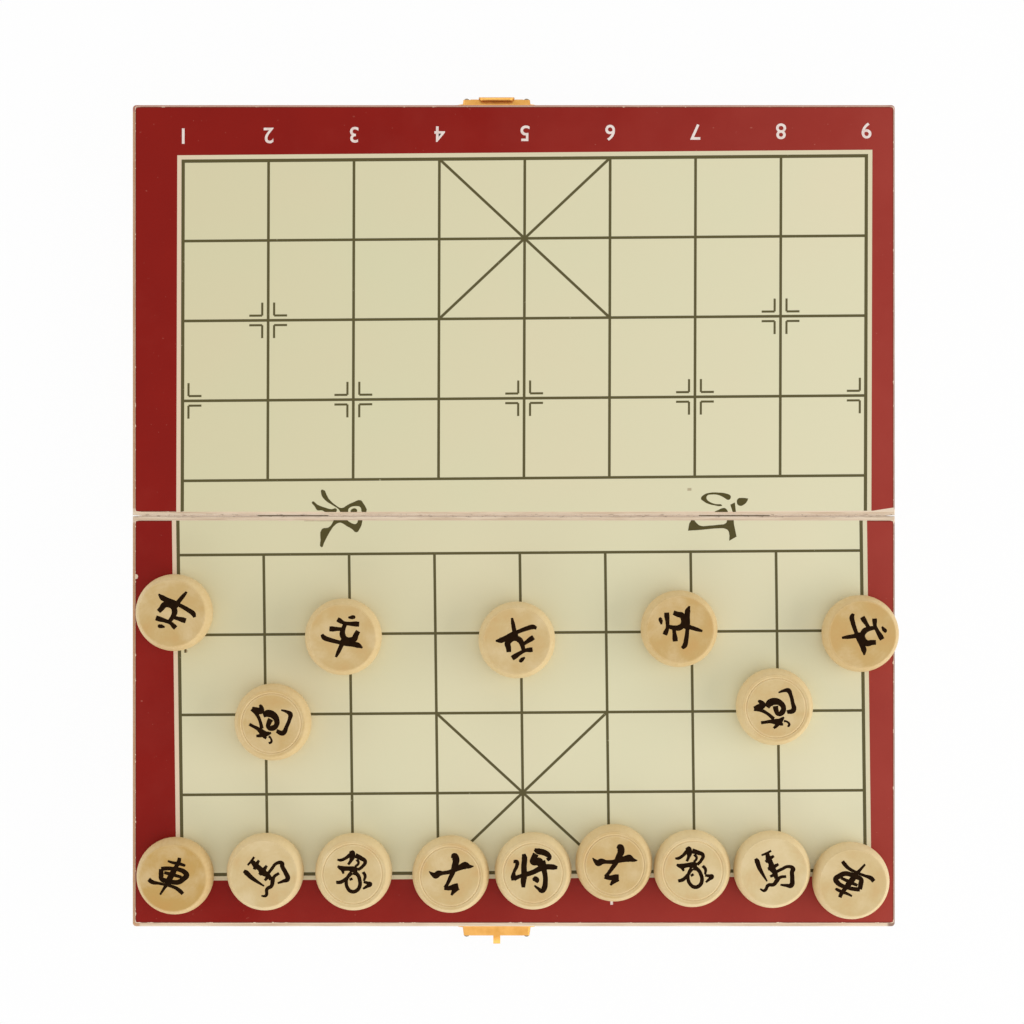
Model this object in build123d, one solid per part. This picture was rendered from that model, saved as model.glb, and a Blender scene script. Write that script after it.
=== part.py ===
from build123d import *
import os
from math import asin, degrees

# A folding travel set for Chinese chess, opened flat with its printed faces up.
# Two shallow wooden trays, hollow side down, are hinged together along the middle.
# Each tray is four finger-jointed rails under a plywood panel with a printed sheet.
# A pressed metal clasp at the outer edges locks the trays rim to rim once they are folded.
# Sixteen turned wooden discs stand on the near tray, as they are set out for play.
# X runs across the files, +Y is the far tray, Z is up. All sizes are in millimetres.
# The origin is at the middle of the seam, level with the undersides of the hinge barrels.

# Board
board_width = 270.0
board_length = 291.0
seam_gap = 0.3
closed_gap = 0.1
corner_radius = 1.2

# Trays
rail_height = 15.0
rail_thickness = 8.0
fingers = 5
rim_chamfer = 0.4
panel_thickness = 3.0
panel_edge_chamfer = 0.35

# Printed sheets, each glued on a little towards +X
sheet_thickness = 0.25
sheet_corner_radius = 0.6
sheet_side_inset = 0.65
sheet_shift = 0.25

# The bare wood that each sheet leaves at its tray's seam edge and at its outer edge
sheet_insets = {"near": (1.45, 1.25), "far": (1.15, 0.6)}

# Hinges
hinge_from_side = 55.0
hinge_length = 25.0
knuckles = 3
knuckle_gap = 0.2
barrel_radius = 1.2
leaf_reach = 7.2
leaf_thickness = 0.8
leaf_recess = 0.1
leaf_corner_radius = 1.2
notch_clearance = 0.3

# Pins of the hinges and of the clasp
pin_radius = 0.6
clasp_pin_radius = 0.5
pin_clearance = 0.05
pin_proud = 0.3

# Countersunk hinge screws
screw_from_middle = 8.4
screw_from_axis = 4.7
screw_length = 8.0
screw_shank_radius = 0.8
screw_head_radius = 1.5
drill_clearance = 0.05

# Clasp, both halves
clasp_x = -6.1
clasp_width = 27.8
clasp_sheet = 0.8
clasp_corner_radius = 2.2
bead_width = 24.6
bead_corner_radius = 1.2
bead_draft = 8.0
nail_from_middle = 10.7
nail_radius = 0.6
nail_depth = 6.0
nail_head_radius = 1.05
nail_head_height = 0.6

# Far half of the clasp: a hinged tongue on its plate, heights measured from the rim
hasp_low = 1.0
hasp_high = 15.0
hasp_bead_low = 9.9
hasp_bead_high = 12.9
hasp_bead_rise = 2.9
pivot_height = 2.2
pivot_reach = 3.75
clasp_barrel_radius = 1.25
lug_width = 2.8
lug_gap = 0.2
tongue_width = 12.8
tongue_length = 12.3
tongue_thickness = 0.7
tongue_lean = 2.5
tongue_corner_radius = 2.4
lip_radius = 1.2
slot_clearance = 0.4

# Near half of the clasp: a plate with the hook that the tongue's slot drops over
strike_low = 1.5
strike_high = 15.2
strike_field_rise = 2.7
strike_bead_low = 10.4
strike_bead_high = 13.6
strike_bead_rise = 4.2
hook_width = 2.5
hook_thickness = 1.0
hook_radius = 8.8
hook_sweep = 30.0

# Playing grid on the near tray
grid_side_margin = 14.15
grid_outer_margin = 19.4
grid_shift = 2.9
river_half = 12.85
files = 9
ranks = 5

# Discs
disc_finger_gap = 3.2
disc_height = 10.0
disc_foot_inset = 1.1
disc_belly_height = 4.4
disc_shoulder_drop = 1.7
disc_face_inset = 1.9
groove_inset = 3.1
groove_width = 0.8
groove_depth = 0.35

# Each disc: file from the left, rank from the near edge, how far it was put off its point along
# X and Y in shares of the grid's pitch, and whether its face has a turned ring
disc_places = {
    "chariot_left": (1, 1, -0.04, -0.02, False),
    "horse_left": (2, 1, 0.01, 0.03, False),
    "elephant_left": (3, 1, 0.04, 0.03, True),
    "advisor_left": (4, 1, 0.17, 0.00, True),
    "general": (5, 1, 0.13, 0.04, True),
    "advisor_right": (6, 1, 0.07, 0.14, True),
    "elephant_right": (7, 1, -0.02, 0.07, True),
    "horse_right": (8, 1, -0.09, 0.06, False),
    "chariot_right": (9, 1, -0.17, -0.08, False),
    "cannon_left": (2, 3, 0.10, -0.11, True),
    "cannon_right": (8, 3, -0.06, 0.08, True),
    "soldier_1": (1, 4, -0.05, 0.25, False),
    "soldier_2": (3, 4, -0.08, -0.05, False),
    "soldier_3": (5, 4, -0.06, -0.09, False),
    "soldier_4": (7, 4, -0.17, 0.05, False),
    "soldier_5": (9, 4, -0.06, -0.01, False),
}

# Levels and lengths that follow from the sizes above
near, far = -1, 1
half_length = (board_length - seam_gap) / 2
hinge_axis_z = barrel_radius
rim_z = hinge_axis_z + closed_gap / 2
rail_top_z = rim_z + rail_height
panel_top_z = rail_top_z + panel_thickness
play_z = panel_top_z + sheet_thickness
leaf_low_z = rim_z + leaf_recess
leaf_high_z = leaf_low_z + leaf_thickness
hinge_x = board_width / 2 - hinge_from_side
file_pitch = (board_width - 2 * grid_side_margin) / (files - 1)
rank_pitch = (board_length / 2 - grid_outer_margin - river_half) / (ranks - 1)
disc_radius = (file_pitch - disc_finger_gap) / 2


def block(x_span, y_span, z_span):
    """A box between two limits on each axis, given in either order."""
    corner = [min(span) for span in (x_span, y_span, z_span)]
    size = [abs(span[1] - span[0]) for span in (x_span, y_span, z_span)]
    return Pos(*corner) * Box(*size, align=(Align.MIN, Align.MIN, Align.MIN))


def bar(radius, start, end):
    """A round bar along the X axis."""
    along_x = Pos(start, 0, 0) * Rot(0, 90, 0)
    return along_x * Cylinder(radius, end - start, align=(Align.CENTER, Align.CENTER, Align.MIN))


def from_seam(side, distance):
    """The Y of a plane at a distance from a tray's seam face."""
    return side * (seam_gap / 2 + distance)


def tray_outline(side):
    """A tray's outline about its own middle, rounded at the outer corners and square at the seam."""
    seam_half = Pos(0, -side * half_length / 4) * Rectangle(board_width, half_length / 2)
    return RectangleRounded(board_width, half_length, corner_radius) + seam_half


def tray_ring(side):
    """The four rails of a tray as one ring, before its corners are cut into fingers."""
    hollow = Rectangle(board_width - 2 * rail_thickness, half_length - 2 * rail_thickness)
    ring = extrude(tray_outline(side) - hollow, rail_height)
    ring = chamfer(ring.edges().group_by(Axis.Z)[0], rim_chamfer)
    return Pos(0, from_seam(side, half_length / 2), rim_z) * ring


def finger_cells(side, levels):
    """The cells that the fingers on the given levels fill at the four corners of a tray."""
    step = rail_height / fingers
    cells = []
    for x_side in (-1, 1):
        x_span = (x_side * (board_width / 2 - rail_thickness), x_side * board_width / 2)
        for start in (0, half_length - rail_thickness):
            y_span = (from_seam(side, start), from_seam(side, start + rail_thickness))
            for level in levels:
                low = rim_z + level * step
                cells.append(block(x_span, y_span, (low, low + step)))
    return cells


def tray_rails(side):
    """The rails of a tray: those along X hold the even fingers, those along Y the odd ones."""
    ring = tray_ring(side)
    half_width = board_width / 2
    inner_x = half_width - rail_thickness
    inner_y = half_length - rail_thickness
    z_span = (rim_z, rail_top_z)
    rails = {}
    for name, span in (("seam_rail", (0, rail_thickness)), ("outer_rail", (inner_y, half_length))):
        y_span = [from_seam(side, distance) for distance in span]
        strip = ring & block((-half_width, half_width), y_span, z_span)
        rails[name] = strip - finger_cells(side, range(1, fingers, 2))
    y_span = (from_seam(side, 0), from_seam(side, half_length))
    for name, x_side in (("left_rail", -1), ("right_rail", 1)):
        strip = ring & block((x_side * inner_x, x_side * half_width), y_span, z_span)
        rails[name] = strip - finger_cells(side, range(0, fingers, 2))
    return rails


def top_panel(side):
    """The plywood panel that closes a tray, its upper edges eased."""
    panel = extrude(tray_outline(side), panel_thickness)
    panel = chamfer(panel.edges().group_by(Axis.Z)[-1], panel_edge_chamfer)
    return Pos(0, from_seam(side, half_length / 2), rail_top_z) * panel


def printed_sheet(side, seam_inset, outer_inset):
    """The printed sheet, cut a little smaller than its panel so that bare wood shows round it."""
    width = board_width - 2 * sheet_side_inset
    length = half_length - seam_inset - outer_inset
    middle_y = from_seam(side, seam_inset + length / 2)
    sheet = extrude(RectangleRounded(width, length, sheet_corner_radius), sheet_thickness)
    return Pos(sheet_shift, middle_y, panel_top_z) * sheet


def screw(growth=0.0):
    """A screw standing on its head, which fills the leaf's countersink, or the hole for it when grown."""
    outline = Polyline(
        (0, 0),
        (screw_head_radius + growth, 0),
        (screw_shank_radius + growth, leaf_thickness),
        (screw_shank_radius + growth, screw_length + growth),
        (0, screw_length + growth),
        close=True,
    )
    return revolve(Plane.XZ * make_face(outline), Axis.Z)


def screw_places(side):
    """Where the screws of one tray's two leaves stand."""
    places = []
    for hinge_side in (-1, 1):
        for end in (-1, 1):
            x = hinge_side * hinge_x + end * screw_from_middle
            places.append(Pos(x, side * screw_from_axis, leaf_low_z))
    return places


def knuckle_spans():
    """Start and end of each knuckle along a hinge barrel."""
    width = (hinge_length - (knuckles - 1) * knuckle_gap) / knuckles
    starts = [-hinge_length / 2 + i * (width + knuckle_gap) for i in range(knuckles)]
    return [(start, start + width) for start in starts]


def hinge_leaf(side, x):
    """One leaf of a hinge with its knuckles: the outer two on the near leaf, the rest on the far."""
    x_span = (-hinge_length / 2, hinge_length / 2)
    z_span = (leaf_low_z, leaf_high_z)
    plate = block(x_span, (side * (barrel_radius + notch_clearance), side * leaf_reach), z_span)
    outer_edges = plate.edges().filter_by(Axis.Z).sort_by(lambda edge: side * edge.center().Y)[-2:]
    leaf = fillet(outer_edges, leaf_corner_radius)
    own_spans = knuckle_spans()[0::2] if side == near else knuckle_spans()[1::2]
    for span in own_spans:
        leaf += block(span, (0, side * (barrel_radius + notch_clearance)), z_span)
        leaf += Pos(0, 0, hinge_axis_z) * bar(barrel_radius, *span)
    leaf -= Pos(0, 0, hinge_axis_z) * bar(pin_radius + pin_clearance, *x_span)
    leaf = Pos(x, 0, 0) * leaf
    return leaf - [place * screw(drill_clearance) for place in screw_places(side)]


def pin(radius, half_span):
    """A plain pin along X that stands a little proud of what it holds."""
    return bar(radius, -half_span - pin_proud, half_span + pin_proud)


def hinge_seat(side, x):
    """What a seam rail loses to one hinge: the leaf's mortise and the barrel's groove."""
    reach = hinge_length / 2 + pin_proud + notch_clearance
    mortise = block((x - reach, x + reach), (0, side * (leaf_reach + notch_clearance)), (0, leaf_high_z))
    groove = Pos(x, 0, hinge_axis_z) * bar(barrel_radius + notch_clearance, -reach, reach)
    return [mortise, groove]


def on_wall(side):
    """A clasp half's place: X across, Y up from the rim, Z straight out of the outer wall."""
    origin = (clasp_x, side * board_length / 2, rim_z)
    return Plane(origin=origin, x_dir=(-side, 0, 0), z_dir=(0, side, 0)).location


def in_section(side):
    """The clasp's middle section: X straight out of the outer wall, Y up from the rim."""
    origin = (clasp_x, side * board_length / 2, rim_z)
    return Plane(origin=origin, x_dir=(0, side, 0), z_dir=(side, 0, 0)).location


def flange(low, high):
    """The flat of a clasp plate against the wall."""
    outline = RectangleRounded(clasp_width, high - low, clasp_corner_radius)
    return extrude(Pos(0, (low + high) / 2) * outline, clasp_sheet)


def boss(low, high, rise):
    """The outside of a boss pressed out of a clasp plate."""
    outline = RectangleRounded(bead_width, high - low, bead_corner_radius)
    return extrude(Pos(0, (low + high) / 2) * outline, rise, taper=bead_draft)


def boss_hollow(low, high, rise):
    """The hollow behind a boss, one thickness of the sheet smaller all round."""
    outline = Rectangle(bead_width - 2 * clasp_sheet, high - low - 2 * clasp_sheet)
    return extrude(Pos(0, (low + high) / 2) * outline, rise - clasp_sheet, taper=bead_draft)


def nail_hole(rise):
    """The hole that a nail's shank needs through a boss and into the wall."""
    radius = nail_radius + drill_clearance
    depth = nail_depth + drill_clearance
    return Pos(0, 0, -depth) * Cylinder(radius, depth + rise, align=(Align.CENTER, Align.CENTER, Align.MIN))


def nail(rise):
    """A round-headed nail driven through a boss into the wall."""
    crown_radius = (nail_head_radius**2 + nail_head_height**2) / (2 * nail_head_height)
    top = rise + nail_head_height
    spread = degrees(asin(nail_head_radius / crown_radius))
    crown = CenterArc((0, top - crown_radius), crown_radius, 90 - spread, spread)
    rest = Polyline(
        (0, top),
        (0, -nail_depth),
        (nail_radius, -nail_depth),
        (nail_radius, rise),
        (nail_head_radius, rise),
    )
    return revolve(Plane.XZ * make_face(crown + rest), Axis.Z)


def nail_places(side, height):
    """Where the two nails of a clasp half go in, in line with its bead."""
    return [on_wall(side) * Pos(end * nail_from_middle, height) for end in (-1, 1)]


def hasp_bead_middle():
    return (hasp_bead_low + hasp_bead_high) / 2


def strike_bead_middle():
    return (strike_bead_low + strike_bead_high) / 2


def clasp_bore(radius):
    """The bore along the clasp's pivot, through everything on it."""
    outline = in_section(far) * Pos(pivot_reach, pivot_height) * Circle(radius)
    return extrude(outline, clasp_width, both=True)


def hasp_plate():
    """The far plate: a flange with a pressed bead and, below it, two curled lugs for the pin."""
    bead = (hasp_bead_low, hasp_bead_high, hasp_bead_rise)
    plate = on_wall(far) * (flange(hasp_low, hasp_high) + boss(*bead) - boss_hollow(*bead))
    strap_top = pivot_height + clasp_barrel_radius
    strap = Pos(pivot_reach / 2, strap_top - clasp_sheet / 2) * Rectangle(pivot_reach, clasp_sheet)
    lug_inner = tongue_width / 2 + lug_gap
    outline = in_section(far) * (strap + Pos(pivot_reach, pivot_height) * Circle(clasp_barrel_radius))
    lugs = extrude(outline, lug_inner + lug_width, both=True) - extrude(outline, lug_inner, both=True)
    plate = plate + lugs - clasp_bore(clasp_pin_radius + pin_clearance)
    holes = [place * nail_hole(hasp_bead_rise) for place in nail_places(far, hasp_bead_middle())]
    return plate - holes


def hasp_tongue():
    """The tongue, folded up against the far plate's bead, with its slot and its curled lip."""
    frame = Pos(pivot_reach, pivot_height) * Rot(0, 0, tongue_lean)
    straight = tongue_length - lip_radius
    leaf = Pos(0, straight / 2) * Rectangle(tongue_thickness, straight)
    lip_centre = (tongue_thickness / 2 - lip_radius, straight)
    quarter = Pos(*lip_centre) * Rectangle(lip_radius, lip_radius, align=(Align.MIN, Align.MIN))
    ring = Pos(*lip_centre) * (Circle(lip_radius) - Circle(lip_radius - tongue_thickness))
    section = leaf + (ring & quarter) + Circle(clasp_barrel_radius)
    tongue = extrude(in_section(far) * frame * section, tongue_width / 2, both=True)
    tongue -= clasp_bore(clasp_pin_radius + pin_clearance)

    # Rounded corners and the slot are cut square through the leaf
    across = in_section(far) * frame * Plane.YZ.location
    length = tongue_length + clasp_barrel_radius + 2 * tongue_corner_radius
    outline = RectangleRounded(length, tongue_width, tongue_corner_radius)
    corners = extrude(across * Pos(tongue_length - length / 2, 0) * outline, clasp_width, both=True)
    slot_length = hook_thickness + 2 * slot_clearance
    slot_width = hook_width + 2 * slot_clearance
    slot = extrude(across * Pos(hook_radius, 0) * Rectangle(slot_length, slot_width), clasp_width, both=True)
    return (tongue & corners) - slot


def strike_hook():
    """The near plate's hook, curved about the tongue's pivot as that lies with the box closed."""
    pivot = (pivot_reach, -pivot_height - closed_gap)
    root_depth = pivot_reach - strike_field_rise + clasp_sheet / 2
    start = 90 - hook_sweep
    sweep = hook_sweep + degrees(asin(root_depth / hook_radius))
    outer = CenterArc(pivot, hook_radius + hook_thickness / 2, start, sweep)
    inner = CenterArc(pivot, hook_radius - hook_thickness / 2, start, sweep)
    nose = (outer @ 0 + inner @ 0) / 2 - (outer % 0) * (hook_thickness / 2)
    outline = outer + Line(outer @ 1, inner @ 1) + inner + ThreePointArc(inner @ 0, nose, outer @ 0)
    return extrude(in_section(near) * make_face(outline), hook_width / 2, both=True)


def strike_plate():
    """The near plate: a flange, a low field that the tongue lies on, a high bead and the hook."""
    field = (strike_low + clasp_sheet, strike_bead_middle(), strike_field_rise)
    bead = (strike_bead_low, strike_bead_high, strike_bead_rise)
    outside = flange(strike_low, strike_high) + boss(*field) + boss(*bead)
    plate = on_wall(near) * (outside - boss_hollow(*field) - boss_hollow(*bead)) + strike_hook()
    holes = [place * nail_hole(strike_bead_rise) for place in nail_places(near, strike_bead_middle())]
    return plate - holes


def disc(has_ring):
    """A turned disc: flat foot, bellied side, rounded shoulder and flat face."""
    face = (disc_radius - disc_face_inset, disc_height)
    curve = (disc_belly_height**2 + disc_foot_inset**2) / (2 * disc_foot_inset)
    below = degrees(asin(disc_belly_height / curve))
    above = degrees(asin((disc_height - disc_shoulder_drop - disc_belly_height) / curve))
    side = CenterArc((disc_radius - curve, disc_belly_height), curve, -below, below + above)
    rounding = TangentArc(side @ 1, face, tangent=side % 1)
    outline = side + rounding + Polyline(face, (0, disc_height), (0, 0), side @ 0)
    turned = revolve(Plane.XZ * make_face(outline), Axis.Z)
    if has_ring:
        ring_radius = disc_radius - groove_inset
        groove = Polyline(
            (ring_radius - groove_width / 2, disc_height),
            (ring_radius, disc_height - groove_depth),
            (ring_radius + groove_width / 2, disc_height),
            close=True,
        )
        turned -= revolve(Plane.XZ * make_face(groove), Axis.Z)
    return turned


def disc_place(file, rank, off_x, off_y):
    """Where a disc stands: its point on the grid, and how far it was put off that point."""
    x = grid_shift + (file - (files + 1) / 2 + off_x) * file_pitch
    y = -(board_length / 2 - grid_outer_margin) + (rank - 1 + off_y) * rank_pitch
    return Pos(x, y, play_z)


def tray(side, name, clasp_nails):
    """The pieces of one tray, drilled and mortised for its hinges and its half of the clasp."""
    pieces = {f"{name}_{rail}": solid for rail, solid in tray_rails(side).items()}
    for hinge_side in (-1, 1):
        pieces[f"{name}_seam_rail"] -= hinge_seat(side, hinge_side * hinge_x)
    pieces[f"{name}_seam_rail"] -= [place * screw(drill_clearance) for place in screw_places(side)]
    pieces[f"{name}_outer_rail"] -= clasp_nails
    pieces[f"{name}_top_panel"] = top_panel(side) - clasp_nails
    pieces[f"{name}_printed_sheet"] = printed_sheet(side, *sheet_insets[name])
    return pieces


def set_pieces():
    """Every piece of the set, by node name."""
    hasp_nail_places = nail_places(far, hasp_bead_middle())
    strike_nail_places = nail_places(near, strike_bead_middle())
    pieces = {}
    pieces |= tray(near, "near", [place * nail_hole(0) for place in strike_nail_places])
    pieces |= tray(far, "far", [place * nail_hole(0) for place in hasp_nail_places])
    for name, x in (("left_hinge", -hinge_x), ("right_hinge", hinge_x)):
        pieces[f"{name}_near_leaf"] = hinge_leaf(near, x)
        pieces[f"{name}_far_leaf"] = hinge_leaf(far, x)
        pieces[f"{name}_pin"] = Pos(x, 0, hinge_axis_z) * pin(pin_radius, hinge_length / 2)
    pieces["near_hinge_screws"] = Compound([place * screw() for place in screw_places(near)])
    pieces["far_hinge_screws"] = Compound([place * screw() for place in screw_places(far)])
    pieces["hasp_plate"] = hasp_plate()
    pieces["hasp_tongue"] = hasp_tongue()
    pivot = Pos(clasp_x, board_length / 2 + pivot_reach, rim_z + pivot_height)
    pieces["hasp_pin"] = pivot * pin(clasp_pin_radius, tongue_width / 2 + lug_gap + lug_width)
    pieces["hasp_nails"] = Compound([place * nail(hasp_bead_rise) for place in hasp_nail_places])
    pieces["strike_plate"] = strike_plate()
    pieces["strike_nails"] = Compound([place * nail(strike_bead_rise) for place in strike_nail_places])
    for name, (file, rank, off_x, off_y, has_ring) in disc_places.items():
        pieces[name] = disc_place(file, rank, off_x, off_y) * disc(has_ring)
    return pieces


os.makedirs("parts", exist_ok=True)
for node, piece in set_pieces().items():
    export_step(piece, f"parts/{node}.step")
    print(f"{node}: {len(piece.solids())} solid(s), {piece.volume:.1f} mm3")
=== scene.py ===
# %% [markdown]
# # A folding travel set for Chinese chess
# The set is a shallow wooden box that opens flat. Its two trays carry a printed board on their
# outsides, and sixteen turned wooden discs stand on the near half.
# The trays, hinges, clasp and discs come as a fixed frame of solids. This lesson gives each
# solid its finish and adds what is too thin for a solid: the ink and the brushed characters.
# Everything is in metres, and sizes are written in millimetres and multiplied by `MM`.

import bmesh
import bpy
from math import cos, pi, radians, sin
from mathutils import Matrix, Vector


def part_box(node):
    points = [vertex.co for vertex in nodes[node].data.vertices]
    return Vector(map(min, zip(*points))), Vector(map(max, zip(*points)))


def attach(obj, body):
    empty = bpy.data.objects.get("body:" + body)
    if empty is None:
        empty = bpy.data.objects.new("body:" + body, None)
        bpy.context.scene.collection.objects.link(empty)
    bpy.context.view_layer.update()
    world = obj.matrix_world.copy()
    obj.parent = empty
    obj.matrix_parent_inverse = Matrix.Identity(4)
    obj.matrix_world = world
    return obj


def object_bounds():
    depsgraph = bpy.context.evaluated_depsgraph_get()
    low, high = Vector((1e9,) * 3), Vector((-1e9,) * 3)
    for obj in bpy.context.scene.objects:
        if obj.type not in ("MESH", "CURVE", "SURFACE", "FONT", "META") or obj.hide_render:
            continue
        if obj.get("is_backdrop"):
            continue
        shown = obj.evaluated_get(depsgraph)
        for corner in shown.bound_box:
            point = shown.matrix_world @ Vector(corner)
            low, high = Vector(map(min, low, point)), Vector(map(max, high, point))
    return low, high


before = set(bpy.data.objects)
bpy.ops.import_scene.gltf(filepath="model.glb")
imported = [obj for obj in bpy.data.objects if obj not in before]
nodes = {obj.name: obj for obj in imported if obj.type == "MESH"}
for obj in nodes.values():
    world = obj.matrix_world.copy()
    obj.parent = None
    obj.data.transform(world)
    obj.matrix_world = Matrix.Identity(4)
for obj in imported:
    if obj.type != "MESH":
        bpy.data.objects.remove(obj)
cad_low, cad_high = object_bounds()
MM = 0.001
print("nodes:", len(nodes), "size in mm:", [round(v / MM, 1) for v in cad_high - cad_low])

# %% [markdown]
# ## Shader sums as plain Python
# A procedural material is a sum of many small steps. Wiring each step by hand is slow to read,
# so a small class wraps a socket and lets Python's own operators add the Math nodes.
# The other nodes all come from one method that sets a node's settings first and its sockets next.

# %% A value in a shader


class Value:
    """A number that varies over a surface, with the operators of plain arithmetic."""

    def __init__(self, finish, socket):
        self.finish = finish
        self.socket = socket

    def math(self, operation, *others):
        node = self.finish.add("ShaderNodeMath", {"operation": operation}, dict(enumerate((self, *others))))
        return Value(self.finish, node.outputs[0])

    def __add__(self, other):
        return self.math("ADD", other)

    def __sub__(self, other):
        return self.math("SUBTRACT", other)

    def __rsub__(self, other):
        return (self * -1) + other

    def __mul__(self, other):
        return self.math("MULTIPLY", other)

    def __truediv__(self, other):
        return self.math("DIVIDE", other)

    def __abs__(self):
        return self.math("ABSOLUTE")

    def least(self, other):
        return self.math("MINIMUM", other)

    def most(self, other):
        return self.math("MAXIMUM", other)

    def power(self, exponent):
        return self.math("POWER", exponent)

    def clamped(self):
        return self.least(1.0).most(0.0)

    def to_nearest(self, period):
        """How far the value is from the nearest multiple of a period."""
        return abs((self / period + 0.5).math("FRACT") - 0.5) * period

    def above(self, edge, softness):
        """1 above an edge, 0 below it, with a soft step between."""
        return ((self - edge) / softness + 0.5).clamped()

    def below(self, edge, softness):
        return ((self * -1 + edge) / softness + 0.5).clamped()

    __radd__ = __add__
    __rmul__ = __mul__


# %% A finish and its nodes


def tone(red, green, blue):
    """A colour as a screen shows it, from 0 to 255, made linear for the shader."""
    steps = [value / 255 for value in (red, green, blue)]
    return (*[s / 12.92 if s <= 0.04045 else ((s + 0.055) / 1.055) ** 2.4 for s in steps], 1.0)


class Finish:
    """A material, or the world, whose nodes all come from one method."""

    def __init__(self, name, holder=None):
        self.holder = holder or bpy.data.materials.new(name)
        self.holder.use_nodes = True
        self.tree = self.holder.node_tree
        self.tree.nodes.clear()
        self.start = None

    @property
    def place(self):
        """The surface point in the frame of the solids."""
        if self.start is None:
            self.start = self.add("ShaderNodeTexCoord").outputs["Object"]
        return self.start

    def add(self, kind, settings=None, sockets=None):
        node = self.tree.nodes.new(kind)
        for name, value in (settings or {}).items():
            if name == "stops":
                self.set_stops(node.color_ramp.elements, value)
            else:
                setattr(node, name, value)
        for name, value in (sockets or {}).items():
            self.plug(node.inputs[name], value)
        return node

    def plug(self, socket, value):
        """Links a value or a socket, or sets a plain number or colour."""
        if isinstance(value, Value):
            value = value.socket
        if isinstance(value, bpy.types.NodeSocket):
            self.tree.links.new(value, socket)
        else:
            socket.default_value = value

    def set_stops(self, elements, stops):
        while len(elements) < len(stops):
            elements.new(1.0)
        for element, (position, colour) in zip(elements, stops):
            element.position = position
            element.color = colour

    def millimetres(self, place=None):
        """The X, Y and Z of the surface point, in millimetres."""
        split = self.add("ShaderNodeSeparateXYZ", {}, {0: place or self.place})
        return [Value(self, socket) * (1 / MM) for socket in split.outputs]

    def moved(self, place=None, location=(0, 0, 0), scale=(1, 1, 1)):
        sockets = {"Vector": place or self.place, "Location": location, "Scale": scale}
        return self.add("ShaderNodeMapping", {}, sockets).outputs[0]

    def noise(self, size_mm, place=None, detail=3.0, roughness=0.5, stretch=(1, 1, 1), seed=0.0):
        """Smooth noise from 0 to 1 whose blotches are about size_mm across."""
        scale = tuple(factor / (size_mm * MM) for factor in stretch)
        sockets = {
            "Vector": self.moved(place, (seed, seed * 0.7, seed * 1.3), scale),
            "Scale": 1.0,
            "Detail": detail,
            "Roughness": roughness,
        }
        return Value(self, self.add("ShaderNodeTexNoise", {}, sockets).outputs[0])

    def ramp(self, factor, stops):
        return self.add("ShaderNodeValToRGB", {"stops": stops}, {0: factor}).outputs[0]

    def mixed(self, factor, first, second):
        """A colour between two others."""
        return self.add("ShaderNodeMix", {"data_type": "RGBA"}, {0: factor, 6: first, 7: second}).outputs[2]

    def bump(self, height, depth_mm):
        sockets = {"Height": height, "Distance": depth_mm * MM, "Strength": 1.0}
        return self.add("ShaderNodeBump", {}, sockets).outputs[0]

    def seen(self):
        """1 where the camera looks, also in a mirror or through glass, and 0 for other light."""
        rays = self.add("ShaderNodeLightPath").outputs
        names = ("Is Camera Ray", "Is Glossy Ray", "Is Transmission Ray")
        camera, glossy, through = [Value(self, rays[name]) for name in names]
        return camera.most(glossy).most(through)

    def between(self, factor, first, second):
        """A shader between two others."""
        shaders = {1: first.outputs[0], 2: second.outputs[0]}
        return self.add("ShaderNodeMixShader", {}, {0: factor, **shaders})

    def ending(self, shader, output="ShaderNodeOutputMaterial"):
        self.add(output, {}, {"Surface": shader.outputs[0]})
        return self.holder

    def surface(self, **sockets):
        """Ends the material in a Principled shader, with its sockets by name."""
        named = {name.replace("_", " "): value for name, value in sockets.items()}
        return self.ending(self.add("ShaderNodeBsdfPrincipled", {}, named))


def dress(node, material):
    """Gives a solid of the frame its finish."""
    nodes[node].data.materials.clear()
    nodes[node].data.materials.append(material)


print("shader helpers ready")

# %% [markdown]
# ## Bare softwood for the rails
# The rails are sawn from a pale softwood. A tree grows in rings about its pith, so the rings are
# worked out in space as the distance from a line along the grain, bent a little by long waves.
# The same rings then meet on every face of a rail, and the ends show arcs, as sawn wood does.
# A flat picture of wood would instead repeat or break at the edges.

# %% Softwood
PALE_WOOD = tone(240, 220, 188)
EARLY_WOOD = tone(231, 206, 168)
LATE_WOOD = tone(207, 170, 124)
RING_PITCH = 2.6


def softwood(name, grain, pith, seed):
    """Growth rings about a pith line; grain is the axis, pith the line's place in mm."""
    finish = Finish(name)
    axes = finish.millimetres()
    long_waves = [1.0, 1.0, 1.0]
    long_waves[grain] = 0.25
    wobble = finish.noise(34.0, detail=2.0, stretch=long_waves, seed=seed) * 7.0
    across = [axes[i] - pith[i] + wobble for i in range(3) if i != grain]
    distance = (across[0] * across[0] + across[1] * across[1]).power(0.5)
    ring = (distance / RING_PITCH).math("FRACT")
    fine = [14.0, 14.0, 14.0]
    fine[grain] = 1.0
    fibre = finish.noise(9.0, detail=4.0, roughness=0.6, stretch=fine, seed=seed + 3)
    late = (ring.power(3.0) * 0.7 + fibre * 0.3).clamped()
    colour = finish.ramp(late, [(0.0, PALE_WOOD), (0.35, EARLY_WOOD), (1.0, LATE_WOOD)])
    blotch = finish.noise(35.0, seed=seed + 7)
    colour = finish.mixed(blotch * 0.35, colour, tone(224, 192, 160))
    handled = finish.noise(5.0, detail=5.0, roughness=0.7, seed=seed + 9).above(0.66, 0.1)
    colour = finish.mixed(handled * 0.18, colour, tone(150, 116, 84))
    return finish.surface(
        Base_Color=colour,
        Roughness=0.64 - late * 0.12,
        Normal=finish.bump(late * 0.6 + fibre * 0.4, 0.05),
        Specular_IOR_Level=0.2,
    )


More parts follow.
